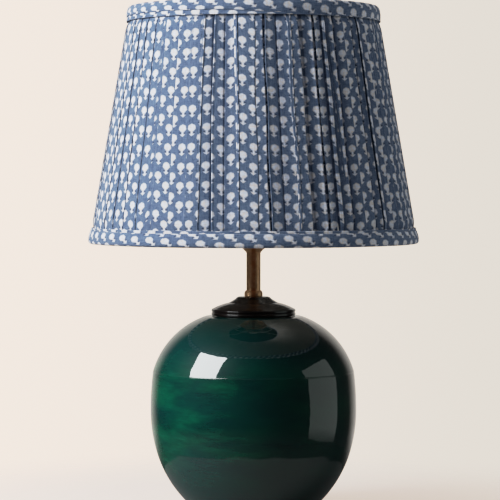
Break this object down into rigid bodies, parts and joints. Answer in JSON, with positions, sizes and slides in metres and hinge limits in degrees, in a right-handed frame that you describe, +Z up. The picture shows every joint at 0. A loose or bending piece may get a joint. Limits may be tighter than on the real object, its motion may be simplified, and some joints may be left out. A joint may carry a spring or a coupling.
{
  "type": "table lamp with shade",
  "caption": "Table lamp with a glazed ball-shaped ceramic base, a brass neck and lampholder, and a gathered print fabric shade on a tilting gimbal.",
  "frame": {"origin": "centre of the foot, on the surface that the lamp stands on", "axes": "+Z up along the lamp's axis, front -Y, shade pivots along X, flex inlet at the back (+Y)"},
  "size_m": [0.3504, 0.3504, 0.535],
  "materials": {
    "glaze": "glossy mottled deep green glaze",
    "felt": "dense wool felt",
    "rubber": "moulded black rubber",
    "cork": "pressed cork and rubber",
    "cap_finish": "near-black lacquer over turned metal",
    "aged_brass": "aged brass, brushed round",
    "bright_brass": "plain pressed brass",
    "zinc_steel": "zinc plated",
    "black_plastic": "moulded thermoset",
    "white_wire": "white coated steel",
    "solder": "solder",
    "nickel": "nickel plated brass",
    "clear_glass": "clear blown glass",
    "phosphor": "yellow phosphor coating",
    "printed_cotton": "gathered cotton print",
    "lining_cotton": "plain white cotton on a stiff backing"
  },
  "bodies": {
    "base": {"ceramic_body": "glaze", "foot_felt": "felt", "cord_grommet": "rubber", "cap_gasket": "cork", "vase_cap": "cap_finish", "neck_collar": "aged_brass", "neck_tube": "aged_brass", "threaded_rod": "zinc_steel", "neck_bridge": "zinc_steel", "lock_washer": "zinc_steel", "bridge_nut": "zinc_steel", "holder_cup": "aged_brass", "cup_nut": "zinc_steel", "holder_shell": "aged_brass", "holder_liner": "black_plastic", "holder_block": "black_plastic", "terminals": "bright_brass", "terminal_screws": "zinc_steel", "screw_shell": "bright_brass", "centre_contact": "bright_brass", "switch_block": "black_plastic", "carrier_ring": "white_wire", "carrier_arm_right": "white_wire", "carrier_arm_left": "white_wire", "carrier_head": "white_wire"},
    "switch": {"switch_bar": "aged_brass", "switch_buttons": "aged_brass"},
    "ring_lower": {"shade_ring_lower": "aged_brass"},
    "ring_upper": {"shade_ring_upper": "aged_brass"},
    "bulb_foot": {"bulb_tip": "solder", "bulb_insulator": "black_plastic"},
    "bulb": {"bulb_glass": "clear_glass", "bulb_cap": "nickel", "bulb_stem": "clear_glass", "bulb_filaments": "phosphor", "bulb_supports": "nickel"},
    "gimbal": {"gimbal_ring": "white_wire", "gimbal_arm_right": "white_wire", "gimbal_arm_left": "white_wire"},
    "gimbal_nut": {"gimbal_nut": "aged_brass"},
    "shade": {"pivot_socket_right": "white_wire", "pivot_socket_left": "white_wire", "frame_ring_lower": "white_wire", "frame_ring_upper": "white_wire", "frame_struts": "white_wire", "shade_cover": "printed_cotton", "shade_lining": "lining_cotton", "trim_lower": "printed_cotton", "trim_upper": "printed_cotton"}
  },
  "joints": [
    {"name": "shade_turn", "type": "hinge", "parent": "base", "child": "gimbal", "pos_m": [0, 0, 0.4909], "axis": [0, 0, 1], "continuous": true},
    {"name": "shade_tilt", "type": "hinge", "parent": "gimbal", "child": "shade", "pos_m": [0, 0, 0.519], "axis": [1, 0, 0], "range_deg": [-30, 30]},
    {"name": "gimbal_nut_turn", "type": "hinge", "parent": "base", "child": "gimbal_nut", "pos_m": [0, 0, 0.494], "axis": [0, 0, 1], "continuous": true},
    {"name": "ring_lower_turn", "type": "hinge", "parent": "base", "child": "ring_lower", "pos_m": [0, 0, 0.311], "axis": [0, 0, 1], "continuous": true},
    {"name": "ring_upper_turn", "type": "hinge", "parent": "base", "child": "ring_upper", "pos_m": [0, 0, 0.3166], "axis": [0, 0, 1], "continuous": true},
    {"name": "bulb_rise", "type": "slide", "parent": "base", "child": "bulb_foot", "axis": [0, 0, 1], "range_m": [0, 0.0182]},
    {"name": "bulb_turn", "type": "hinge", "parent": "bulb_foot", "child": "bulb", "pos_m": [0, 0, 0.38], "axis": [0, 0, 1], "range_deg": [0, 1800]},
    {"name": "switch_push", "type": "slide", "parent": "base", "child": "switch", "axis": [0, -1, 0], "range_m": [0, 0.006]}
  ],
  "couplings": [
    {"joint": "bulb_rise", "follows": "bulb_turn", "m_per_rad": 0.00057757}
  ]
}
